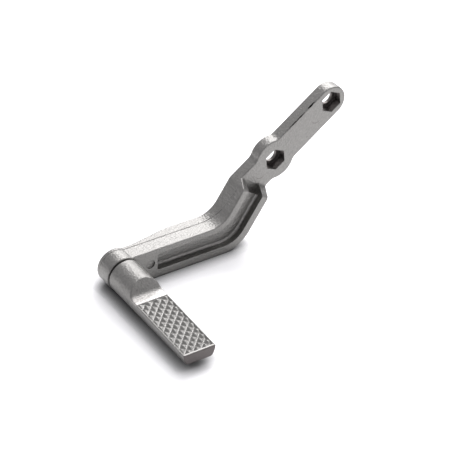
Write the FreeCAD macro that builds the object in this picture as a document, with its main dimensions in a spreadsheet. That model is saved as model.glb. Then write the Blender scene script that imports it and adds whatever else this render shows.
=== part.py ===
# Kick start lever: a forged arm with a bolted bar at one end and a swivelling foot pedal at the other.
# Millimetres. X runs along the lower run of the arm towards its bend, Y is away from the pedal's tip, Z is up.
# The pieces are drawn about the pedal's axis, at the front face of the arm. Their placement then moves
# the origin to the inner bolt hole, on the back face of the bar.
import FreeCAD, Part
import os
from math import atan2, cos, degrees, radians, sin, sqrt

import Sketcher
from FreeCAD import Placement, Rotation, Vector

os.makedirs("parts", exist_ok=True)
doc = FreeCAD.newDocument("kick_start_lever")

# Driving sizes: lengths in millimetres, angles in degrees
SIZES = {
    # Arm, in side view: the eye, the lower run and the rise
    "eye_radius": 11.5,
    "run_top": 10.0,
    "bend_x": 84.0,
    "rise_angle": 57.0,
    "rise_width": 22.5,
    "outer_bend": 23.0,
    "inner_bend": 17.0,
    "knee_round": 6.0,
    "shoulder_round": 6.0,
    # Arm, across: the eye is narrower than the run, and the flanges end in a ramp
    "eye_width": 12.7,
    "arm_width": 17.0,
    "taper_start": 12.5,
    "taper_end": 38.0,
    "rise_length": 37.2,
    "ramp_run": 4.4,
    "crest_round": 2.5,
    "foot_round": 2.0,
    "edge_round": 0.8,
    "back_round": 0.8,
    # Channel in the front face
    "channel_start": 24.0,
    "channel_depth": 5.2,
    "lower_flange": 5.6,
    "upper_flange": 4.0,
    "outer_flange": 5.4,
    "inner_flange": 4.4,
    "web_end": 35.4,
    "well_depth": 9.4,
    "well_end": 36.8,
    "well_slope": 4.6,
    "channel_round": 1.5,
    "floor_round": 1.6,
    "dimple_x": 19.0,
    "dimple_radius": 2.9,
    "dimple_depth": 1.1,
    # Bolted bar
    "bolt_x": 114.0,
    "bolt_z": 40.0,
    "bolt_spacing": 50.0,
    "bar_angle": 36.3,
    "bar_width": 21.0,
    "bar_thickness": 8.2,
    "bar_tail": 25.0,
    "hub_radius": 14.0,
    "hub_blend": 6.0,
    "hex_across": 13.2,
    "hex_depth": 6.0,
    "bolt_hole": 8.6,
    # Foot pedal
    "pedal_gap": 0.7,
    "pedal_length": 86.0,
    "barrel_radius": 11.0,
    "barrel_chamfer": 0.9,
    "barrel_length": 21.3,
    "scoop_run": 4.6,
    "scoop_fillet": 4.5,
    "paddle_root": 2.3,
    "paddle_tip": 0.4,
    "paddle_drop": 7.0,
    "paddle_rise": 18.0,
    "belly_bend": 14.0,
    "belly_round": 2.5,
    "paddle_round": 0.8,
    "grip_start": 6.6,
    "grip_margin": 1.5,
    "grip_pitch": 5.8,
    "grip_depth": 1.1,
    "groove_width": 3.44,
    # Swivel
    "pin_radius": 5.0,
    "pin_depth": 19.0,
    "pin_chamfer": 0.6,
    "bore_clearance": 0.08,
    "washer_radius": 8.8,
    "washer_thickness": 1.0,
    "washer_play": 0.05,
    "spring_radius": 7.8,
    "spring_thickness": 0.6,
    "spring_height": 0.5,
    "ring_groove": 0.5,
    "ring_thickness": 1.0,
    "ring_radius": 7.2,
    "ring_mouth": 3.0,
    "ring_play": 0.1,
    "pin_tail": 0.9,
}

sheet = doc.addObject("Spreadsheet::Sheet", "Sizes")
for row, (alias, value) in enumerate(SIZES.items(), start=1):
    sheet.set(f"A{row}", alias)
    sheet.set(f"B{row}", str(value))
    sheet.setAlias(f"B{row}", alias)
doc.recompute()


def size(alias):
    """The number in the sheet's cell."""
    return float(getattr(sheet, alias))


def worth(holder, expression):
    """The plain number that an expression gives."""
    number = holder.evalExpression(expression)
    return getattr(number, "Value", number)


def plane(body, role):
    """One of the body's own origin planes or axes."""
    return next(item for item in body.Origin.OriginFeatures if item.Role == role)


def new_body(name):
    body = doc.addObject("PartDesign::Body", name)
    body.Label = name
    return body


def new_sketch(body, role, name, offset=None, depth=None):
    """A sketch on one of the body's origin planes. On XZ_Plane its normal points along -Y.

    depth is an expression for the sketch's place behind the front face, on XZ_Plane only."""
    sketch = body.newObject("Sketcher::SketchObject", name)
    sketch.AttachmentSupport = (plane(body, role), "")
    sketch.MapMode = "FlatFace"
    if offset is not None:
        sketch.AttachmentOffset = offset
    if depth is not None:
        sketch.setExpression(".AttachmentOffset.Base.z", f"-({depth})")
    doc.recompute()
    return sketch


def outline(sketch, points):
    """A closed chain of lines through the points, numbered from 0. Each is joined to the next."""
    corners = [Vector(*point, 0) for point in points]
    for start, end in zip(corners, corners[1:] + corners[:1]):
        sketch.addGeometry(Part.LineSegment(start, end), False)
    for index in range(len(corners)):
        relate(sketch, "Coincident", index, 2, (index + 1) % len(corners), 1)


def relate(sketch, kind, *terms):
    sketch.addConstraint(Sketcher.Constraint(kind, *terms))


def bind(sketch, kind, *terms):
    """A dimension whose last term is its expression."""
    *places, expression = terms
    number = worth(sketch, expression)
    if kind == "Angle":
        number = radians(number)
    index = sketch.addConstraint(Sketcher.Constraint(kind, *places, number))
    sketch.setExpression(f"Constraints[{index}]", expression)


def bind_point(sketch, line, end, x_expression, y_expression):
    """Ties one end of a line, or a circle's centre, to a place in the sketch."""
    bind(sketch, "DistanceX", -1, 1, line, end, x_expression)
    bind(sketch, "DistanceY", -1, 1, line, end, y_expression)


def square_up(sketch, across=(), upright=()):
    """Sets lines level or upright."""
    for line in across:
        relate(sketch, "Horizontal", line)
    for line in upright:
        relate(sketch, "Vertical", line)


def circle_sketch(body, name, radius, centre=("0", "0"), depth=None, turn=0):
    """A sketch on the body's XZ plane with one circle. Its sizes are expressions, and turn moves its seam."""
    sketch = new_sketch(body, "XZ_Plane", name, Placement(Vector(), Rotation(Vector(0, 0, 1), turn)), depth)
    middle = Vector(worth(sketch, centre[0]), worth(sketch, centre[1]), 0)
    sketch.addGeometry(Part.Circle(middle, Vector(0, 0, 1), worth(sketch, radius)), False)
    bind(sketch, "Radius", 0, radius)
    if centre == ("0", "0"):
        relate(sketch, "Coincident", 0, 3, -1, 1)
    else:
        bind_point(sketch, 0, 3, *centre)
    return sketch


def raise_profile(body, kind, sketch, name, length, reverse, both):
    feature = body.newObject(f"PartDesign::{kind}", name)
    feature.Profile = sketch
    feature.Reversed = reverse
    feature.Midplane = both
    feature.setExpression("Length", length)
    doc.recompute()
    return feature


def pad(body, sketch, name, length, reverse=False, both=False):
    raise_profile(body, "Pad", sketch, name, length, reverse, both)


def pocket(body, sketch, name, length, reverse=False, both=False):
    """A cut whose direction is set by hand, with a check that it takes something away."""
    before = body.Shape.Volume
    feature = raise_profile(body, "Pocket", sketch, name, length, reverse, both)
    if feature.Shape.Volume > before - 0.01:
        raise RuntimeError(f"{name} cuts nothing")


def dress(body, kind, name, prop, expression, choose):
    """A fillet or chamfer on the edges of the body's tip for which choose(edge) is true."""
    base = body.Tip
    names = [f"Edge{number}" for number, edge in enumerate(base.Shape.Edges, start=1) if choose(edge)]
    if not names:
        raise RuntimeError(f"{name} finds no edge")
    feature = body.newObject(f"PartDesign::{kind}", name)
    feature.Base = (base, names)
    feature.setExpression(prop, expression)
    doc.recompute()


def fillet(body, name, expression, choose):
    dress(body, "Fillet", name, "Radius", expression, choose)


def near(value, target, slack=0.02):
    return abs(value - target) < slack


def across_at(*points):
    """Picks the straight edges along Y that pass through one of the points (x, z)."""
    def choose(edge):
        box = edge.BoundBox
        upright = box.XLength < 0.01 and box.ZLength < 0.01
        return upright and any(near(box.XMin, x) and near(box.ZMin, z) for x, z in points)
    return choose


def crossing(point, angle, other, other_angle):
    """Where the line through point at angle meets the line through other at other_angle."""
    ux, uz = cos(radians(angle)), sin(radians(angle))
    vx, vz = cos(radians(other_angle)), sin(radians(other_angle))
    dx, dz = other[0] - point[0], other[1] - point[1]
    step = (dx * vz - dz * vx) / (ux * vz - uz * vx)
    return point[0] + step * ux, point[1] + step * uz


def along(point, angle, distance):
    """The point moved by distance in the direction of angle, in side view."""
    return point[0] + distance * cos(radians(angle)), point[1] + distance * sin(radians(angle))


def beside(point, angle, distance):
    """The point moved to the left of the direction of angle."""
    return along(point, angle + 90, distance)


# Side view of the arm: its corners before the bends are rounded
rise = size("rise_angle")
lean = size("bar_angle")
bolt = (size("bolt_x"), size("bolt_z"))
half_bar = size("bar_width") / 2
outer_corner = (size("bend_x"), -size("eye_radius"))
inner_line = beside(outer_corner, rise, size("rise_width"))
inner_corner = crossing(inner_line, rise, (0, size("run_top")), 0)
knee = crossing(outer_corner, rise, beside(bolt, lean, -half_bar), lean)
shoulder = crossing(inner_corner, rise, beside(bolt, lean, half_bar), lean)
arm_overlap = 2 * size("ramp_run")
bar_face = size("arm_width") - size("bar_thickness")
FACE = "Sizes.arm_width - Sizes.bar_thickness"

# Places up the rise are measured from the foot of the line that its outer side lies on
rise_foot = outer_corner[0] * cos(radians(rise)) + outer_corner[1] * sin(radians(rise))
RISE_FOOT = "Sizes.bend_x * cos(Sizes.rise_angle * 1 deg) - Sizes.eye_radius * sin(Sizes.rise_angle * 1 deg)"


def up_the_rise(body, name, sideways=0):
    """A sketch whose first axis climbs the rise and whose second is Y, moved sideways across the rise."""
    lie = Rotation(Vector(0, 1, 0), -rise)
    return new_sketch(body, "XY_Plane", name, Placement(lie.multVec(Vector(0, 0, -sideways)), lie))


def crosses_rise(edge):
    """Whether a straight edge runs right across the rise, at a right angle to it."""
    box = edge.BoundBox
    slope = sin(radians(rise)) * size("rise_width")
    return box.XMin > size("bend_x") and near(box.XLength, slope, 1) and box.XMax < size("bolt_x")


def arm_blank(arm):
    """The arm's side view at full width, up to where the bar leaves it."""
    side = new_sketch(arm, "XZ_Plane", "arm_outline")
    outline(side, [
        (0, -size("eye_radius")), outer_corner, knee, along(knee, lean, arm_overlap),
        along(shoulder, lean, arm_overlap), shoulder, inner_corner, (0, size("run_top")),
    ])
    hole = side.addGeometry(Part.Point(Vector(*bolt, 0)), True)
    bind_point(side, hole, 1, "Sizes.bolt_x", "Sizes.bolt_z")
    square_up(side, across=(0, 6), upright=(7,))
    relate(side, "PointOnObject", 0, 1, -2)
    bind(side, "DistanceY", 0, 1, -1, 1, "Sizes.eye_radius")
    bind(side, "DistanceY", -1, 1, 6, 2, "Sizes.run_top")
    bind(side, "DistanceX", -1, 1, 0, 2, "Sizes.bend_x")
    bind(side, "Angle", 1, "Sizes.rise_angle * 1 deg")
    relate(side, "Parallel", 1, 5)
    bind(side, "Distance", 5, 2, 1, "Sizes.rise_width")
    bind(side, "Angle", 2, "Sizes.bar_angle * 1 deg")
    relate(side, "Parallel", 2, 4)
    for line in (2, 4):
        bind(side, "Distance", hole, 1, line, "Sizes.bar_width / 2")
        bind(side, "Distance", line, 1, line, 2, "2 * Sizes.ramp_run")
    pad(arm, side, "arm_pad", "Sizes.arm_width", reverse=True)
    fillet(arm, "outer_bend", "Sizes.outer_bend", across_at(outer_corner))
    fillet(arm, "inner_bend", "Sizes.inner_bend", across_at(inner_corner))
    fillet(arm, "knee_round", "Sizes.knee_round", across_at(knee))
    fillet(arm, "shoulder_round", "Sizes.shoulder_round", across_at(shoulder))
    pad(arm, circle_sketch(arm, "eye_circle", "Sizes.eye_radius"), "eye_pad", "Sizes.arm_width", reverse=True)


def arm_bar(arm):
    """The flat bar and the round hub about its inner hole, flush with the arm's back face."""
    bar = new_sketch(arm, "XZ_Plane", "bar_outline", depth="Sizes.arm_width")
    far_bolt = along(bolt, lean, size("bolt_spacing"))
    tail = along(bolt, lean, -size("bar_tail"))
    ends = [Vector(*beside(place, lean, side), 0) for place, side in (
        (tail, half_bar), (tail, -half_bar), (far_bolt, -half_bar), (far_bolt, half_bar),
    )]
    bar.addGeometry(Part.LineSegment(ends[0], ends[1]), False)
    bar.addGeometry(Part.LineSegment(ends[1], ends[2]), False)
    bar.addGeometry(Part.Arc(ends[2], Vector(*along(far_bolt, lean, half_bar), 0), ends[3]), False)
    bar.addGeometry(Part.LineSegment(ends[3], ends[0]), False)
    middle = bar.addGeometry(Part.LineSegment(Vector(*bolt, 0), Vector(*far_bolt, 0)), True)
    relate(bar, "Coincident", 0, 2, 1, 1)
    relate(bar, "Tangent", 1, 2, 2, 1)
    relate(bar, "Tangent", 2, 2, 3, 1)
    relate(bar, "Coincident", 3, 2, 0, 1)
    relate(bar, "Coincident", 2, 3, middle, 2)
    relate(bar, "Perpendicular", 0, middle)
    relate(bar, "Parallel", 1, middle)
    bind_point(bar, middle, 1, "Sizes.bolt_x", "Sizes.bolt_z")
    bind(bar, "Angle", middle, "Sizes.bar_angle * 1 deg")
    bind(bar, "Distance", middle, 1, middle, 2, "Sizes.bolt_spacing")
    bind(bar, "Radius", 2, "Sizes.bar_width / 2")
    bind(bar, "Distance", middle, 1, 0, "Sizes.bar_tail")
    pad(arm, bar, "bar_pad", "Sizes.bar_thickness")

    hub = circle_sketch(arm, "hub_circle", "Sizes.hub_radius", ("Sizes.bolt_x", "Sizes.bolt_z"), "Sizes.arm_width")
    pad(arm, hub, "hub_pad", "Sizes.bar_thickness")
    reach = sqrt(size("hub_radius") ** 2 - half_bar ** 2)
    corners = [beside(along(bolt, lean, end * reach), lean, edge * half_bar) for end in (-1, 1) for edge in (-1, 1)]
    fillet(arm, "hub_blends", "Sizes.hub_blend", across_at(*corners))


def arm_back(arm):
    """The back face slopes from the narrow eye out to the full width of the run."""
    relief = new_sketch(arm, "XY_Plane", "back_relief")
    start = -size("eye_radius") - 5
    behind = size("arm_width") + 5
    outline(relief, [
        (start, size("eye_width")), (size("taper_start"), size("eye_width")),
        (size("taper_end"), size("arm_width")), (size("taper_end"), behind), (start, behind),
    ])
    square_up(relief, across=(0, 3), upright=(2, 4))
    bind(relief, "DistanceX", 4, 2, -1, 1, "Sizes.eye_radius + 5")
    bind_point(relief, 0, 2, "Sizes.taper_start", "Sizes.eye_width")
    bind_point(relief, 1, 2, "Sizes.taper_end", "Sizes.arm_width")
    bind(relief, "DistanceY", -1, 1, 2, 2, "Sizes.arm_width + 5")
    pocket(arm, relief, "back_taper", "Sizes.eye_radius * 4", both=True)


def arm_ramp(arm):
    """The full width ends in a steep ramp down to the face of the bar, rounded at its crest and foot."""
    ramp = up_the_rise(arm, "ramp_profile")
    crest = rise_foot + size("rise_length")
    outline(ramp, [
        (crest, -2), (crest, 0), (crest + size("ramp_run"), bar_face), (crest + 40, bar_face), (crest + 40, -2),
    ])
    square_up(ramp, across=(2, 4), upright=(0, 3))
    relate(ramp, "PointOnObject", 0, 2, -1)
    bind(ramp, "DistanceY", 0, 1, -1, 1, "2")
    bind(ramp, "DistanceX", -1, 1, 0, 2, f"{RISE_FOOT} + Sizes.rise_length")
    bind(ramp, "DistanceX", 1, 1, 1, 2, "Sizes.ramp_run")
    bind(ramp, "DistanceY", 1, 1, 1, 2, FACE)
    bind(ramp, "DistanceX", 4, 2, 4, 1, "40")
    pocket(arm, ramp, "flange_ramp", "Sizes.bolt_x * 3", both=True)

    def crosses_at(height):
        """Picks the one long edge that crosses the rise at y = height."""
        def choose(edge):
            box = edge.BoundBox
            return near(box.YMin, height) and near(box.YMax, height) and crosses_rise(edge)
        return choose
    fillet(arm, "crest_round", "Sizes.crest_round", crosses_at(0))
    fillet(arm, "foot_round", "Sizes.foot_round", crosses_at(bar_face))


def arm_edges(arm):
    """One small round runs along the whole front outline, ramp and bar face, and another along the back."""
    def front(edge):
        return edge.BoundBox.YMax < bar_face + 0.01 and not crosses_rise(edge)

    def back(edge):
        box = edge.BoundBox
        return box.YMin > size("eye_width") - 0.01 and box.XLength > 0.05 and not near(box.ZLength, box.DiagonalLength)
    fillet(arm, "front_edges", "Sizes.edge_round", front)
    fillet(arm, "back_edges", "Sizes.back_round", back)


def arm_channel(arm):
    """The channel follows the run and the rise, and its floor rises to the bar's face in a short slope."""
    floor_z = -size("eye_radius") + size("lower_flange")
    roof_z = size("run_top") - size("upper_flange")
    low_corner = crossing(beside(outer_corner, rise, size("outer_flange")), rise, (0, floor_z), 0)
    high_corner = crossing(beside(inner_line, rise, -size("inner_flange")), rise, (0, roof_z), 0)
    end = along((0, 0), rise, rise_foot + size("web_end"))
    start = size("channel_start")
    channel = new_sketch(arm, "XZ_Plane", "channel_outline")
    outline(channel, [
        (start, floor_z), low_corner, crossing(low_corner, rise, end, rise + 90),
        crossing(high_corner, rise, end, rise + 90), high_corner, (start, roof_z),
    ])
    edge = Part.LineSegment(Vector(*outer_corner, 0), Vector(*along(outer_corner, rise, 30), 0))
    side = channel.addGeometry(edge, True)
    bind(channel, "DistanceX", -1, 1, side, 1, "Sizes.bend_x")
    bind(channel, "DistanceY", side, 1, -1, 1, "Sizes.eye_radius")
    bind(channel, "Distance", side, 1, side, 2, "30")
    bind(channel, "Angle", side, "Sizes.rise_angle * 1 deg")
    square_up(channel, across=(0, 4), upright=(5,))
    relate(channel, "Parallel", 1, side)
    relate(channel, "Perpendicular", 2, 1)
    relate(channel, "Parallel", 3, 1)
    bind(channel, "DistanceX", -1, 1, 0, 1, "Sizes.channel_start")
    bind(channel, "DistanceY", 0, 1, -1, 1, "Sizes.eye_radius - Sizes.lower_flange")
    bind(channel, "DistanceY", -1, 1, 4, 2, "Sizes.run_top - Sizes.upper_flange")
    bind(channel, "Distance", side, 1, 1, "Sizes.outer_flange")
    bind(channel, "Distance", side, 1, 3, "Sizes.rise_width - Sizes.inner_flange")
    bind(channel, "Distance", side, 1, 2, "Sizes.web_end")
    pocket(arm, channel, "channel", "Sizes.channel_depth")

    width = size("rise_width") - size("outer_flange") - size("inner_flange")
    middle = outer_corner[0] * sin(radians(rise)) - outer_corner[1] * cos(radians(rise))
    well = up_the_rise(arm, "well_profile", middle - size("outer_flange") - width / 2)
    top = rise_foot + size("web_end")
    depth = size("channel_depth")
    foot = rise_foot + size("well_end")
    outline(well, [
        (top, -1), (top, depth), (top + 0.6, size("well_depth")), (foot, size("well_depth")),
        (foot + size("well_slope"), bar_face), (foot + 9, bar_face), (foot + 9, -1),
    ])
    square_up(well, across=(2, 4, 6), upright=(0, 5))
    bind(well, "DistanceX", -1, 1, 0, 1, f"{RISE_FOOT} + Sizes.web_end")
    bind(well, "DistanceY", 0, 1, -1, 1, "1")
    bind(well, "DistanceY", -1, 1, 1, 1, "Sizes.channel_depth")
    bind(well, "DistanceX", 1, 1, 1, 2, "0.6")
    bind(well, "DistanceY", -1, 1, 2, 1, "Sizes.well_depth")
    bind(well, "DistanceX", -1, 1, 2, 2, f"{RISE_FOOT} + Sizes.well_end")
    bind(well, "DistanceX", 3, 1, 3, 2, "Sizes.well_slope")
    bind(well, "DistanceY", -1, 1, 3, 2, FACE)
    bind(well, "DistanceX", 2, 2, 4, 2, "9")
    pocket(arm, well, "channel_well", "Sizes.rise_width - Sizes.outer_flange - Sizes.inner_flange", both=True)

    fillet(arm, "channel_low_bend", "Sizes.outer_bend - Sizes.lower_flange", across_at(low_corner))
    fillet(arm, "channel_high_bend", "Sizes.inner_bend + Sizes.upper_flange", across_at(high_corner))
    fillet(arm, "channel_corners", "Sizes.channel_round", across_at((start, floor_z), (start, roof_z)))

    def on_floor(edge):
        box = edge.BoundBox
        crosses = near(box.XLength, width * sin(radians(rise)), 0.1) and box.XMin > size("bend_x")
        return near(box.YMin, depth) and near(box.YMax, depth) and box.XMax < size("bolt_x") and not crosses
    fillet(arm, "channel_floor", "Sizes.floor_round", on_floor)


def arm_holes(arm):
    """A hexagonal recess and a clear hole for each bolt, the pin's bore and a small dimple."""
    for place, steps in (("inner", 0), ("outer", 1)):
        spot = along(bolt, lean, steps * size("bolt_spacing"))
        centre = (
            f"Sizes.bolt_x + {steps} * Sizes.bolt_spacing * cos(Sizes.bar_angle * 1 deg)",
            f"Sizes.bolt_z + {steps} * Sizes.bolt_spacing * sin(Sizes.bar_angle * 1 deg)",
        )
        hexagon = new_sketch(arm, "XZ_Plane", f"{place}_hexagon", depth=FACE)
        reach = size("hex_across") / sqrt(3)
        outline(hexagon, [along(spot, lean + 60 * turn, reach) for turn in range(6)])
        rim = hexagon.addGeometry(Part.Circle(Vector(*spot, 0), Vector(0, 0, 1), reach), True)
        for turn in range(6):
            relate(hexagon, "PointOnObject", turn, 1, rim)
            if turn:
                relate(hexagon, "Equal", 0, turn)
        bind_point(hexagon, rim, 3, *centre)
        bind(hexagon, "Radius", rim, "Sizes.hex_across / sqrt(3)")
        bind(hexagon, "Angle", 0, "(Sizes.bar_angle + 120) * 1 deg")
        pocket(arm, hexagon, f"{place}_recess", "Sizes.hex_depth")
        hole = circle_sketch(arm, f"{place}_hole", "Sizes.bolt_hole / 2", centre)
        pocket(arm, hole, f"{place}_through", "Sizes.arm_width + 1")
    bore = circle_sketch(arm, "pin_bore", "Sizes.pin_radius + Sizes.bore_clearance")
    pocket(arm, bore, "pin_through", "Sizes.arm_width + 1")
    dimple = circle_sketch(arm, "dimple_circle", "Sizes.dimple_radius", ("Sizes.dimple_x", "0"))
    pocket(arm, dimple, "dimple", "Sizes.dimple_depth")


arm = new_body("lever_arm")
arm_blank(arm)
arm_bar(arm)
arm_back(arm)
arm_ramp(arm)
arm_edges(arm)
arm_channel(arm)
arm_holes(arm)


def level_with(*places):
    """Picks edges that lie flat across the pedal at one of the places (y, z)."""
    def choose(edge):
        box = edge.BoundBox
        flat = box.YLength < 0.01 and box.ZLength < 0.01
        return flat and any(near(box.YMin, y) and near(box.ZMin, z) for y, z in places)
    return choose


def pedal_blank(pedal):
    """Foot pedal without its grip: a round barrel that is scooped away to a half-round paddle."""
    barrel = circle_sketch(pedal, "barrel_circle", "Sizes.barrel_radius", depth="-Sizes.pedal_gap", turn=-90)
    pad(pedal, barrel, "barrel_pad", "Sizes.pedal_length - Sizes.pedal_gap")
    radius = size("barrel_radius")
    front = -size("pedal_length")
    lip = -size("barrel_length")
    foot = lip - size("scoop_run")
    past = front - 1
    above = radius + 2

    scoop = new_sketch(pedal, "YZ_Plane", "scoop_profile")
    fall = (size("paddle_root") - size("paddle_tip")) / (foot - front)
    outline(scoop, [
        (lip, above), (lip, radius), (foot, size("paddle_root")), (past, size("paddle_tip") - fall), (past, above),
    ])
    square_up(scoop, across=(4,), upright=(0, 3))
    bind_point(scoop, 1, 1, "-Sizes.barrel_length", "Sizes.barrel_radius")
    bind_point(scoop, 2, 1, "-Sizes.barrel_length - Sizes.scoop_run", "Sizes.paddle_root")
    bind(scoop, "DistanceX", 3, 1, -1, 1, "Sizes.pedal_length + 1")
    bind(scoop, "DistanceY", -1, 1, 3, 1, "Sizes.paddle_tip - (Sizes.paddle_root - Sizes.paddle_tip)"
         " / (Sizes.pedal_length - Sizes.barrel_length - Sizes.scoop_run)")
    bind(scoop, "DistanceY", -1, 1, 0, 1, "Sizes.barrel_radius + 2")
    pocket(pedal, scoop, "scoop", "Sizes.barrel_radius * 3", both=True)

    belly = new_sketch(pedal, "YZ_Plane", "belly_profile")
    bottom = -size("paddle_drop")
    rise_end = lip - size("paddle_rise")
    outline(belly, [(lip, -radius), (rise_end, bottom), (past, bottom), (past, -above), (lip, -above)])
    square_up(belly, across=(1, 3), upright=(2, 4))
    bind_point(belly, 0, 1, "-Sizes.barrel_length", "-Sizes.barrel_radius")
    bind_point(belly, 1, 1, "-Sizes.barrel_length - Sizes.paddle_rise", "-Sizes.paddle_drop")
    bind(belly, "DistanceX", 1, 2, -1, 1, "Sizes.pedal_length + 1")
    bind(belly, "DistanceY", 3, 1, -1, 1, "Sizes.barrel_radius + 2")
    pocket(pedal, belly, "belly", "Sizes.barrel_radius * 3", both=True)

    fillet(pedal, "scoop_foot", "Sizes.scoop_fillet", level_with((foot, size("paddle_root"))))
    fillet(pedal, "belly_bend", "Sizes.belly_bend", level_with((rise_end, bottom)))

    def under_edge(edge):
        box = edge.BoundBox
        return box.YMax < -size("pedal_gap") - 1 and box.ZMax < -1 and box.YLength > 2 and box.YMin > front - 0.01
    fillet(pedal, "belly_round", "Sizes.belly_round", under_edge)

    def rim(edge):
        box = edge.BoundBox
        along_top = box.YMax < lip + 0.1 and box.ZMin > 0 and box.YLength > 0.5
        return along_top or box.YMax < front + 0.01
    fillet(pedal, "paddle_round", "Sizes.paddle_round", rim)

    pin_hole = circle_sketch(pedal, "pin_hole", "Sizes.pin_radius")
    pocket(pedal, pin_hole, "pin_seat", "Sizes.pin_depth", reverse=True)

    def rear_rim(edge):
        box = edge.BoundBox
        return box.YMin > -size("pedal_gap") - 0.01 and box.XLength > 2 * size("pin_radius") + 1
    dress(pedal, "Chamfer", "barrel_rim", "Size", "Sizes.barrel_chamfer", rear_rim)


def grip_cutter():
    """Two sets of V grooves that cross at right angles, kept to a field with sloping sides.

    They are drawn on the paddle's own plane, from the foot of the scoop."""
    pitch = size("grip_pitch")
    depth = size("grip_depth")
    half = size("groove_width") / 2
    run = size("pedal_length") - size("barrel_length") - size("scoop_run")
    wide = size("barrel_radius") - size("grip_margin") / 2
    first = -size("grip_start")
    last = size("grip_margin") - run
    reach = 4 * wide
    grooves = []
    for turn in (45, -45):
        place = first + wide
        while place > last - wide:
            section = Part.Face(Part.makePolygon([
                Vector(-reach / 2, -half, 0.5), Vector(-reach / 2, half, 0.5), Vector(-reach / 2, half, 0),
                Vector(-reach / 2, 0, -depth), Vector(-reach / 2, -half, 0), Vector(-reach / 2, -half, 0.5),
            ]))
            groove = section.extrude(Vector(reach, 0, 0))
            groove.Placement = Placement(Vector(0, place, 0), Rotation(Vector(0, 0, 1), turn))
            grooves.append(groove)
            place -= pitch

    def border(inset, height):
        x, start, end = wide - inset, first - inset, last + inset
        return Part.makePolygon([
            Vector(-x, start, height), Vector(x, start, height), Vector(x, end, height), Vector(-x, end, height),
            Vector(-x, start, height),
        ])
    field = Part.makeLoft([border(depth, -depth - 0.1), border(-0.5, 0.5)], True, True)
    cutter = grooves[0].fuse(grooves[1:]).common(field)
    foot = Vector(0, -size("barrel_length") - size("scoop_run"), size("paddle_root"))
    slope = atan2(size("paddle_root") - size("paddle_tip"), run)
    cutter.Placement = Placement(foot, Rotation(Vector(1, 0, 0), degrees(slope)))
    return cutter


def foot_pedal():
    blank = new_body("pedal_blank")
    pedal_blank(blank)
    grooves = doc.addObject("Part::Feature", "grip_grooves")
    grooves.Shape = grip_cutter()
    pedal = doc.addObject("Part::Cut", "foot_pedal")
    pedal.Base = blank
    pedal.Tool = grooves
    pedal.Label = "foot_pedal"
    doc.recompute()


def turned(name, *stations):
    """A body spun about Y. Each station is a pair of expressions: the place along Y and the radius."""
    body = new_body(name)
    sketch = new_sketch(body, "YZ_Plane", f"{name}_profile")
    outline(sketch, [[worth(sketch, term) for term in station] for station in stations])
    for index, (along_axis, radius) in enumerate(stations):
        bind(sketch, "DistanceX", -1, 1, index, 1, along_axis)
        if radius == "0":
            relate(sketch, "PointOnObject", index, 1, -1)
        else:
            bind(sketch, "DistanceY", -1, 1, index, 1, radius)
    spin = body.newObject("PartDesign::Revolution", f"{name}_turned")
    spin.Profile = sketch
    spin.ReferenceAxis = (plane(body, "Y_Axis"), [""])
    spin.Angle = 360
    doc.recompute()


def swivel():
    """The pin is pressed into the barrel and turns in the eye, and a ring holds it behind the eye."""
    running = "Sizes.pin_radius + Sizes.bore_clearance"
    washer_front = "Sizes.washer_play - Sizes.pedal_gap"
    turned("thrust_washer", (washer_front, running), ("0", running), ("0", "Sizes.washer_radius"),
           (washer_front, "Sizes.washer_radius"))
    stack = "Sizes.eye_width + Sizes.washer_thickness"
    turned("rear_washer", ("Sizes.eye_width", running), (stack, running), (stack, "Sizes.washer_radius"),
           ("Sizes.eye_width", "Sizes.washer_radius"))
    spring_end = f"{stack} + Sizes.spring_thickness + Sizes.spring_height"
    turned("disc_spring", (f"{stack} + Sizes.spring_height", running), (spring_end, running),
           (f"{stack} + Sizes.spring_thickness", "Sizes.spring_radius"), (stack, "Sizes.spring_radius"))
    groove_end = f"{spring_end} + Sizes.ring_thickness + Sizes.ring_play"
    groove_floor = "Sizes.pin_radius - Sizes.ring_groove"
    pin_end = f"{groove_end} + Sizes.pin_tail"
    chamfered = "Sizes.pin_radius - Sizes.pin_chamfer"
    turned("pivot_pin", ("-Sizes.pin_depth", "0"), ("-Sizes.pin_depth", chamfered),
           ("-Sizes.pin_depth + Sizes.pin_chamfer", "Sizes.pin_radius"), (spring_end, "Sizes.pin_radius"),
           (spring_end, groove_floor), (groove_end, groove_floor), (groove_end, "Sizes.pin_radius"),
           (f"{pin_end} - Sizes.pin_chamfer", "Sizes.pin_radius"), (pin_end, chamfered), (pin_end, "0"))

    ring = new_body("retaining_ring")
    rings = circle_sketch(ring, "ring_outline", "Sizes.ring_radius", depth=groove_end)
    inner = f"{groove_floor} + Sizes.ring_play / 2"
    rings.addGeometry(Part.Circle(Vector(), Vector(0, 0, 1), worth(rings, inner)), False)
    relate(rings, "Coincident", 1, 3, -1, 1)
    bind(rings, "Radius", 1, inner)
    pad(ring, rings, "ring_pad", "Sizes.ring_thickness")
    mouth = new_sketch(ring, "XZ_Plane", "ring_mouth", depth=groove_end)
    half = size("ring_mouth") / 2
    below = -size("ring_radius") - 1
    outline(mouth, [(-half, 0), (half, 0), (half, below), (-half, below)])
    relate(mouth, "PointOnObject", 0, 1, -1)
    square_up(mouth, across=(0, 2), upright=(1, 3))
    bind(mouth, "DistanceX", 0, 1, -1, 1, "Sizes.ring_mouth / 2")
    bind(mouth, "DistanceX", 0, 1, 0, 2, "Sizes.ring_mouth")
    bind(mouth, "DistanceY", 1, 2, 1, 1, "Sizes.ring_radius + 1")
    pocket(ring, mouth, "ring_opening", "Sizes.arm_width", both=True)


foot_pedal()
swivel()

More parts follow.
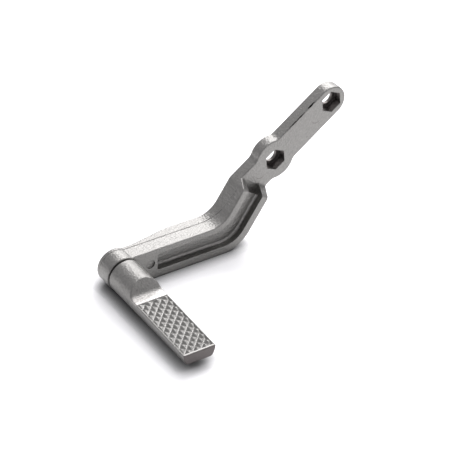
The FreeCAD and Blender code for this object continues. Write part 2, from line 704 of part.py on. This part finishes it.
# The origin moves to the inner bolt hole, on the back face of the bar
NODES = (
    "lever_arm", "foot_pedal", "pivot_pin", "thrust_washer", "rear_washer", "disc_spring", "retaining_ring",
)
pieces = [doc.getObjectsByLabel(name)[0] for name in NODES]
for piece in pieces:
    piece.setExpression(".Placement.Base.x", "-Sizes.bolt_x")
    piece.setExpression(".Placement.Base.y", "-Sizes.arm_width")
    piece.setExpression(".Placement.Base.z", "-Sizes.bolt_z")
doc.recompute()

for item in doc.Objects:
    if "Invalid" in item.State or "Error" in item.State:
        raise RuntimeError(f"{item.Name} failed: {item.State}")
for piece in pieces:
    shape = piece.Shape
    if shape.isNull() or not shape.isValid() or len(shape.Solids) != 1:
        raise RuntimeError(f"{piece.Label} isn't one valid solid")
    print(f"{piece.Label}: {shape.Volume:.0f} mm3, {len(shape.Faces)} faces, {shape.BoundBox}")
for piece in pieces:
    piece.Shape.exportStep(f"parts/{piece.Label}.step")
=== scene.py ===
from math import pi, radians

import bpy
from mathutils import Matrix, Vector


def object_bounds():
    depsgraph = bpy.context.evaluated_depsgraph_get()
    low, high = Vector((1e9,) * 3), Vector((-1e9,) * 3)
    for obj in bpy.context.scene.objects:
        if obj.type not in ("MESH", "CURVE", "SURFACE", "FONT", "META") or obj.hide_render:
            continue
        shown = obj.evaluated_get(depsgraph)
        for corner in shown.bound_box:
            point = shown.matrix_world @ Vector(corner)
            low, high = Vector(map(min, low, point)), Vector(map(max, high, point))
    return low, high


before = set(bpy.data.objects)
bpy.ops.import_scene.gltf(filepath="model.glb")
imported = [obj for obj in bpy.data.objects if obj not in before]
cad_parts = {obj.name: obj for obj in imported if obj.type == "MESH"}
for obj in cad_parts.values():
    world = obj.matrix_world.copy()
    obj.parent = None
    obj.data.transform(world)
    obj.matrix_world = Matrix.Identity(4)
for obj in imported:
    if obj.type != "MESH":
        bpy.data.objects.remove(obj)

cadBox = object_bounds()
mm = 0.001
print("frame loaded:", ", ".join(sorted(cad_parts)))


def linear(hexColour):
    # an sRGB hex value as linear RGBA
    parts = [int(hexColour[i:i + 2], 16) / 255 for i in (1, 3, 5)]
    return [p / 12.92 if p <= 0.04045 else ((p + 0.055) / 1.055) ** 2.4 for p in parts] + [1]


def addNode(tree, kind, inputs, **settings):
    # one node with its settings; each input gets a value, a socket, or a node's first live output
    node = tree.nodes.new(kind)
    for name, value in settings.items():
        setattr(node, name, value)
    for name, value in inputs.items():
        if isinstance(value, bpy.types.Node):
            value = next(socket for socket in value.outputs if socket.enabled)
        if isinstance(value, bpy.types.NodeSocket):
            tree.links.new(value, node.inputs[name])
        else:
            node.inputs[name].default_value = value
    return node


camera = {
    "place": (-634.95, -891.23, 719.95),      # mm, fitted with the next three to the photo's edges
    "right": (0.839756, -0.541992, 0.032463),
    "up": (0.291662, 0.500713, 0.814997),
    "focal": 2101.6,                          # in pixels of the frame
    "frame": 450,
    "sensor": 36,                             # mm
    "nearest": 0.05,                          # m, what is nearer isn't drawn
    "farthest": 20,
}


def makeCamera():
    data = bpy.data.cameras.new("camera")
    data.sensor_width = camera["sensor"]
    data.lens = camera["focal"] * data.sensor_width / camera["frame"]
    data.clip_start = camera["nearest"]
    data.clip_end = camera["farthest"]
    view = bpy.data.objects.new("camera", data)
    right = Vector(camera["right"]).normalized()
    up = Vector(camera["up"])
    up = (up - right * up.dot(right)).normalized()
    turn = Matrix((right, up, right.cross(up))).transposed()
    view.matrix_world = Matrix.Translation(Vector(camera["place"]) * mm) @ turn.to_4x4()
    bpy.context.scene.collection.objects.link(view)
    bpy.context.scene.camera = view


makeCamera()
print("camera placed")

studio = {
    "floorHalf": 3.0,           # m
    "floorColour": "#f0f0f0",
    "floorLift": 0.30,          # how much whiter the table looks to the eye and in the metal than it lights
    "contactReach": 9.0,        # mm, how near a piece has to be for the painted contact shadow to darken the table under it
    "contactDepth": 1.4,        # the power that deepens this painted shadow
    "contactSamples": 16,
    "worldColour": "#fcfbff",
    "worldStrength": 0.50,
    "lampColour": "#fefdff",
}
lamps = {
    # name: (direction from the lever, distance in metres, size in metres, radiance)
    "softboxOverhead": ((0.28, 0.02, 0.96), 0.90, (0.90, 0.90), 1.5),
    "softboxBehind": ((0.46, 0.62, 0.62), 1.00, (0.80, 0.72), 5.3),
    "keyFromTheRight": ((0.80, 0.20, 0.57), 0.90, (0.30, 0.30), 7.8),
    "cardBehindLeft": ((-0.45, 0.62, 0.58), 1.00, (0.50, 0.45), 0.65),
    "cardInFront": ((0.46, -0.86, 0.30), 1.20, (0.90, 0.50), 0.8),
}


def tableMaterial():
    # matt white laminate: whiter to the camera, in gloss and through glass, with a painted contact shadow
    # that darkens it close to a piece
    material = bpy.data.materials.new("whiteTable")
    material.use_nodes = True
    tree = material.node_tree
    tree.nodes.clear()
    path = addNode(tree, "ShaderNodeLightPath", {}).outputs
    seen = path["Is Camera Ray"]
    for ray in ("Is Glossy Ray", "Is Transmission Ray"):
        seen = addNode(tree, "ShaderNodeMath", {0: seen, 1: path[ray]}, operation="ADD", use_clamp=True)
    lift = addNode(tree, "ShaderNodeMath", {0: seen, 1: studio["floorLift"], 2: 1},
                   operation="MULTIPLY_ADD")
    # painted contact shadow: ambient occlusion darkens the table near a piece
    near = addNode(tree, "ShaderNodeAmbientOcclusion", {"Distance": studio["contactReach"] * mm},
                   samples=studio["contactSamples"]).outputs["AO"]
    near = addNode(tree, "ShaderNodeMath", {0: near, 1: studio["contactDepth"]}, operation="POWER")
    level = addNode(tree, "ShaderNodeMath", {0: lift, 1: near}, operation="MULTIPLY")
    shade = addNode(tree, "ShaderNodeVectorMath", {0: linear(studio["floorColour"])[:3], "Scale": level},
                    operation="SCALE")
    white = addNode(tree, "ShaderNodeBsdfDiffuse", {"Color": shade})
    addNode(tree, "ShaderNodeOutputMaterial", {"Surface": white})
    return material


def makeFloor():
    lowest = cadBox[0][2]
    half = studio["floorHalf"]
    corners = [(x * half, y * half, lowest) for x, y in ((-1, -1), (1, -1), (1, 1), (-1, 1))]
    mesh = bpy.data.meshes.new("floor")
    mesh.from_pydata(corners, [], [(0, 1, 2, 3)])
    mesh.materials.append(tableMaterial())
    floor = bpy.data.objects.new("floor", mesh)
    bpy.context.scene.collection.objects.link(floor)


def makeLamps():
    for name, (direction, distance, area, radiance) in lamps.items():
        data = bpy.data.lights.new(name, "AREA")
        data.shape = "RECTANGLE"
        data.size, data.size_y = area
        data.color = linear(studio["lampColour"])[:3]
        data.energy = radiance * pi * area[0] * area[1]
        lamp = bpy.data.objects.new(name, data)
        lamp.location = Vector(direction).normalized() * distance
        lamp.rotation_euler = (-lamp.location).to_track_quat("-Z", "Y").to_euler()
        bpy.context.scene.collection.objects.link(lamp)


def makeWorld():
    world = bpy.data.worlds.new("studio")
    world.use_nodes = True
    background = world.node_tree.nodes["Background"]
    background.inputs["Color"].default_value = linear(studio["worldColour"])
    background.inputs["Strength"].default_value = studio["worldStrength"]
    bpy.context.scene.world = world


makeFloor()
makeLamps()
makeWorld()
bpy.context.scene.view_settings.view_transform = "Standard"
print("studio lit")


def newSteel(name):
    # a metal and its shader
    material = bpy.data.materials.new(name)
    material.use_nodes = True
    steel = material.node_tree.nodes["Principled BSDF"]
    steel.inputs["Metallic"].default_value = 1
    return material, steel


def placeOn(tree):
    # the place on the piece, in the lever's frame, and its three coordinates
    place = addNode(tree, "ShaderNodeTexCoord", {}).outputs["Object"]
    axes = addNode(tree, "ShaderNodeSeparateXYZ", {"Vector": place}).outputs
    return place, axes


def within(tree, *slopes):
    # a mask, the product of soft slopes: each number gives 0 at its first value in mm and 1 at its second
    mask = None
    for number, start, end in slopes:
        ends = {"Value": number, "From Min": start * mm, "From Max": end * mm}
        slope = addNode(tree, "ShaderNodeMapRange", ends, interpolation_type="SMOOTHSTEP")
        mask = addNode(tree, "ShaderNodeMath", {0: mask, 1: slope}, operation="MULTIPLY") if mask else slope
    return mask


def paint(tree, base, marks):
    # the base colour with hex colours laid over it, each as far as its mask says
    for colour, mask in marks:
        layers = {"Factor": mask, "A": base, "B": linear(colour)}
        base = addNode(tree, "ShaderNodeMix", layers, data_type="RGBA")
    return base


blasted = {
    "colour": "#7a7977",
    "pale": "#908f8c",
    "roughness": 0.40,
    "grain": 1.3,          # mm, the pits that the shot left, drawn coarse enough to show
    "grainDetail": 2.0,
    "grainRoughness": 0.55,
    "grainDepth": 0.42,    # mm
    "swell": 6.0,          # mm, the slow waves of a forging's skin
    "swellDetail": 2.0,
    "swellDepth": 0.12,    # mm
    "wear": 0.6,           # mm, how far the sharp edges are rubbed round
    "wearSamples": 6,
}


def blastedTone(tree, place):
    # the pits, and a tone that follows them
    pits = addNode(tree, "ShaderNodeTexNoise", {
        "Vector": place,
        "Scale": 1 / (blasted["grain"] * mm),
        "Detail": blasted["grainDetail"],
        "Roughness": blasted["grainRoughness"],
    })
    tone = addNode(tree, "ShaderNodeMix", {
        "Factor": pits,
        "A": linear(blasted["colour"]),
        "B": linear(blasted["pale"]),
    }, data_type="RGBA")
    return pits, tone


def blastedRelief(tree, place, pits, grainDepth):
    # rubbed edges, then the pits, then the slow waves
    swell = addNode(tree, "ShaderNodeTexNoise", {
        "Vector": place,
        "Scale": 1 / (blasted["swell"] * mm),
        "Detail": blasted["swellDetail"],
    })
    relief = addNode(tree, "ShaderNodeBevel", {"Radius": blasted["wear"] * mm},
                     samples=blasted["wearSamples"])
    for height, depth in ((pits, grainDepth), (swell, blasted["swellDepth"] * mm)):
        relief = addNode(tree, "ShaderNodeBump", {"Height": height, "Distance": depth, "Normal": relief})
    return relief


armMarks = {
    # places are in mm from the inner bolt hole, on the back face of the bar
    "partingStart": -44.0,       # x past which the parting line leans to the front
    "partingPlace": -7.0,        # y of the line on the lower run
    "partingLean": 0.32,
    "partingFront": -11.3,       # the line ends here, short of the channel's floor
    "partingFade": 0.3,
    "partingHalf": 0.35,
    "partingDepth": 0.30,
    # painted shade: the dark side of the parting ridge, laid on as a darker colour along the line
    "partingShadeColour": "#5c5858",
    "partingShadeStrength": 0.5,
    "boltHoles": ((0, 0, 0), (40.3, 0, 29.6)),
    "recessRadius": 7.7,
    "recessFade": 0.1,
    "recessMouth": (-8.15, -7.4),    # y, where the painted shade fades in behind the bar's front face
    "recessFloor": (-0.3, -0.8),     # y, where it fades out at the back face
    "recessShadeColour": "#686462",       # painted shade in the recesses
    "ejectorPlaces": ((29.4, -8.2, 21.0), (-10.9, -8.2, -7.0)),
    "ejectorRadius": 3.4,
    "ejectorHalf": 0.45,
    "ejectorOpening": (-1, -3),  # z from its middle, where each ring fades in
    # painted shade of the ejector-pin dimples' walls
    "ejectorColour": "#6f6b6a",
    "barAngle": 36.3,            # degrees
    # painted light on the bar: a nick drawn as black painted shade, a white painted highlight by it, and a
    # dark painted shade line along the bar's front edge
    "paintedLightSpots": (
        # (middle, half length along the bar, half width, colour)
        ((25.0, -7.9, 31.7), 4.0, 0.85, "#0f0e0e"),
        ((28.9, -8.0, 35.0), 1.3, 0.55, "#ffffff"),
        ((15.2, -8.0, 24.0), 8.0, 0.50, "#353231"),
    ),
    "spotGrain": 2.2,            # size of the waves that make a spot ragged
    "spotDetail": 1.0,
    "spotShake": 1.2,            # how far they move its edge
    "spotEdge": 0.7,             # the share of a spot's width that is fully painted
}


def partingLine(tree, axes):
    # near a line that runs straight along the lower run and then leans to the front
    start = armMarks["partingStart"] * mm
    place = armMarks["partingPlace"] * mm
    past = addNode(tree, "ShaderNodeMath", {0: axes["X"], 1: start}, operation="SUBTRACT")
    past = addNode(tree, "ShaderNodeMath", {0: past, 1: 0}, operation="MAXIMUM")
    line = addNode(tree, "ShaderNodeMath", {0: axes["Y"], 1: place}, operation="SUBTRACT")
    line = addNode(tree, "ShaderNodeMath", {0: past, 1: armMarks["partingLean"], 2: line},
                   operation="MULTIPLY_ADD")
    line = addNode(tree, "ShaderNodeMath", {0: line}, operation="ABSOLUTE")
    front = armMarks["partingFront"]
    return within(tree, (line, armMarks["partingHalf"], 0),
                  (axes["Y"], front - armMarks["partingFade"], front))


def recessShade(tree, axes):
    # painted shade, near either bolt hole's axis, between the recess's mouth and the bar's back
    flat = addNode(tree, "ShaderNodeCombineXYZ", {"X": axes["X"], "Z": axes["Z"]})
    inner, outer = [
        addNode(tree, "ShaderNodeVectorMath", {0: flat, 1: [c * mm for c in hole]}, operation="DISTANCE")
        for hole in armMarks["boltHoles"]
    ]
    nearest = addNode(tree, "ShaderNodeMath", {0: inner, 1: outer}, operation="MINIMUM")
    radius = armMarks["recessRadius"]
    return within(tree, (nearest, radius + armMarks["recessFade"], radius),
                  (axes["Y"], *armMarks["recessMouth"]), (axes["Y"], *armMarks["recessFloor"]))


def ejectorShade(tree, place, axes, middle):
    # painted shade on the lower part of a thin ring, where a shallow ejector-pin dimple's wall lies in
    # shade
    radius = armMarks["ejectorRadius"] * mm
    reach = addNode(tree, "ShaderNodeVectorMath", {0: place, 1: [c * mm for c in middle]},
                    operation="DISTANCE")
    ring = addNode(tree, "ShaderNodeMath", {0: reach, 1: radius}, operation="SUBTRACT")
    ring = addNode(tree, "ShaderNodeMath", {0: ring}, operation="ABSOLUTE")
    start, end = [middle[2] + z for z in armMarks["ejectorOpening"]]
    return within(tree, (ring, armMarks["ejectorHalf"], 0), (axes["Z"], start, end))


def paintedLightSpot(tree, shaken, middle, length, width):
    # a long spot of painted shade, or of painted highlight where it is white, turned to lie along the bar,
    # on a place that noise has shaken
    angle = radians(armMarks["barAngle"])
    centre = [(c + armMarks["spotShake"] / 2) * mm for c in middle]
    along = addNode(tree, "ShaderNodeMapping", {
        "Vector": shaken,
        "Location": centre,
        "Rotation": (0, -angle, 0),
        "Scale": (length / width, 1, 1),
    }, vector_type="TEXTURE")
    reach = addNode(tree, "ShaderNodeVectorMath", {0: along}, operation="LENGTH").outputs["Value"]
    return within(tree, (reach, width, width * armMarks["spotEdge"]))


def armSteel():
    # forged steel, shot blasted: neutral grey, an even fine sparkle and no grain direction, with the faint
    # line where the dies parted, darkened along it as painted shade of its ridge; painted shade at two
    # ejector-pin dimples, in a nick, along one edge of the bar and in the recesses; and a white painted
    # highlight by the nick
    material, steel = newSteel("shotBlastedForgedSteel")
    tree = material.node_tree
    place, axes = placeOn(tree)
    pits, tone = blastedTone(tree, place)
    relief = blastedRelief(tree, place, pits, blasted["grainDepth"] * mm)
    parting = partingLine(tree, axes)
    ridge = addNode(tree, "ShaderNodeBump", {
        "Height": parting,
        "Distance": armMarks["partingDepth"] * mm,
        "Normal": relief,
    })
    # painted shade of the parting ridge darkens the tone along its line
    faint = addNode(tree, "ShaderNodeMath", {0: parting, 1: armMarks["partingShadeStrength"]},
                    operation="MULTIPLY")
    # painted shade along the parting line and in the recesses
    marks = [(armMarks["partingShadeColour"], faint), (armMarks["recessShadeColour"], recessShade(tree, axes))]
    # painted shade at the ejector-pin dimples
    for middle in armMarks["ejectorPlaces"]:
        marks.append((armMarks["ejectorColour"], ejectorShade(tree, place, axes, middle)))
    ragged = addNode(tree, "ShaderNodeTexNoise", {
        "Vector": place,
        "Scale": 1 / (armMarks["spotGrain"] * mm),
        "Detail": armMarks["spotDetail"],
    }).outputs["Color"]
    shake = [armMarks["spotShake"] * mm] * 3
    shaken = addNode(tree, "ShaderNodeVectorMath", {0: ragged, 1: shake, 2: place},
                     operation="MULTIPLY_ADD")
    # painted shade in the nick and along the edge, and a painted highlight by the nick
    for middle, length, width, colour in armMarks["paintedLightSpots"]:
        marks.append((colour, paintedLightSpot(tree, shaken, middle, length, width)))
    tree.links.new(paint(tree, tone, marks).outputs["Result"], steel.inputs["Base Color"])
    tree.links.new(ridge.outputs["Normal"], steel.inputs["Normal"])
    steel.inputs["Roughness"].default_value = blasted["roughness"]
    return material


pedalMarks = {
    # places are in mm in the lever's frame, y along the pedal
    "barrelEnd": -47.0,          # the blasted barrel's skin fades into the finer pad's
    "padStart": -50.0,
    "padGrainDepth": 0.10,
    "padRoughness": 0.37,        # rubbed smoother by the foot
    "barrelRoughness": 0.45,
    "highlightTop": -41.5,          # the foot of the scoop, lightened as a painted highlight
    "highlightFoot": -46.0,
    "highlightEnd": -49.3,
    "highlightFade": 0.8,
    "highlightLow": -39.0,          # z; nothing under this is rubbed
    # the colour of the painted highlight on the scoop's foot
    "highlightColour": "#adaba8",
    "tipStart": -102.2,
    "tipEnd": -102.9,
    "tipShadeColour": "#625e5d",      # painted shade on the sheared end
}


def pedalSteel():
    # the same blasted forging, with finer pits on the chequered pad, a painted highlight on the scoop's
    # foot and painted shade on the sheared end
    material, steel = newSteel("shotBlastedPedalSteel")
    tree = material.node_tree
    place, axes = placeOn(tree)
    barrel = within(tree, (axes["Y"], pedalMarks["padStart"], pedalMarks["barrelEnd"]))
    onPad = (pedalMarks["padGrainDepth"] * mm, pedalMarks["padRoughness"])
    onBarrel = (blasted["grainDepth"] * mm, pedalMarks["barrelRoughness"])
    depth, roughness = [
        addNode(tree, "ShaderNodeMath", {0: barrel, 1: rough - fine, 2: fine}, operation="MULTIPLY_ADD")
        for fine, rough in zip(onPad, onBarrel)
    ]
    pits, tone = blastedTone(tree, place)
    relief = blastedRelief(tree, place, pits, depth)
    soft = pedalMarks["highlightFade"]
    # painted highlight on the scoop's foot
    scoopHighlight = within(tree, (axes["Y"], pedalMarks["highlightTop"], pedalMarks["highlightFoot"]),
                    (axes["Y"], pedalMarks["highlightEnd"] - soft, pedalMarks["highlightEnd"]),
                    (axes["Z"], pedalMarks["highlightLow"], pedalMarks["highlightLow"] + soft))
    # painted shade darkens the sheared end
    tip = within(tree, (axes["Y"], pedalMarks["tipStart"], pedalMarks["tipEnd"]))
    tone = paint(tree, tone, [(pedalMarks["highlightColour"], scoopHighlight), (pedalMarks["tipShadeColour"], tip)])
    tree.links.new(tone.outputs["Result"], steel.inputs["Base Color"])
    tree.links.new(relief.outputs["Normal"], steel.inputs["Normal"])
    tree.links.new(roughness.outputs[0], steel.inputs["Roughness"])
    return material


swivelSteels = {
    "groundSteel": ("#b9b7b5", 0.24),             # turned and ground, lightly oiled
    "blackenedSpringSteel": ("#4a4848", 0.34),    # hardened and blackened in oil
}


def plainSteel(name):
    # one even metal
    colour, roughness = swivelSteels[name]
    material, steel = newSteel(name)
    steel.inputs["Base Color"].default_value = linear(colour)
    steel.inputs["Roughness"].default_value = roughness
    return material


groundSteel = plainSteel("groundSteel")
springSteel = plainSteel("blackenedSpringSteel")
metals = {
    "lever_arm": armSteel(),
    "foot_pedal": pedalSteel(),
    "pivot_pin": groundSteel,
    "thrust_washer": groundSteel,
    "rear_washer": groundSteel,
    "disc_spring": springSteel,
    "retaining_ring": springSteel,
}
for name, metal in metals.items():
    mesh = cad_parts[name].data
    mesh.materials.clear()
    mesh.materials.append(metal)
print("materials set")
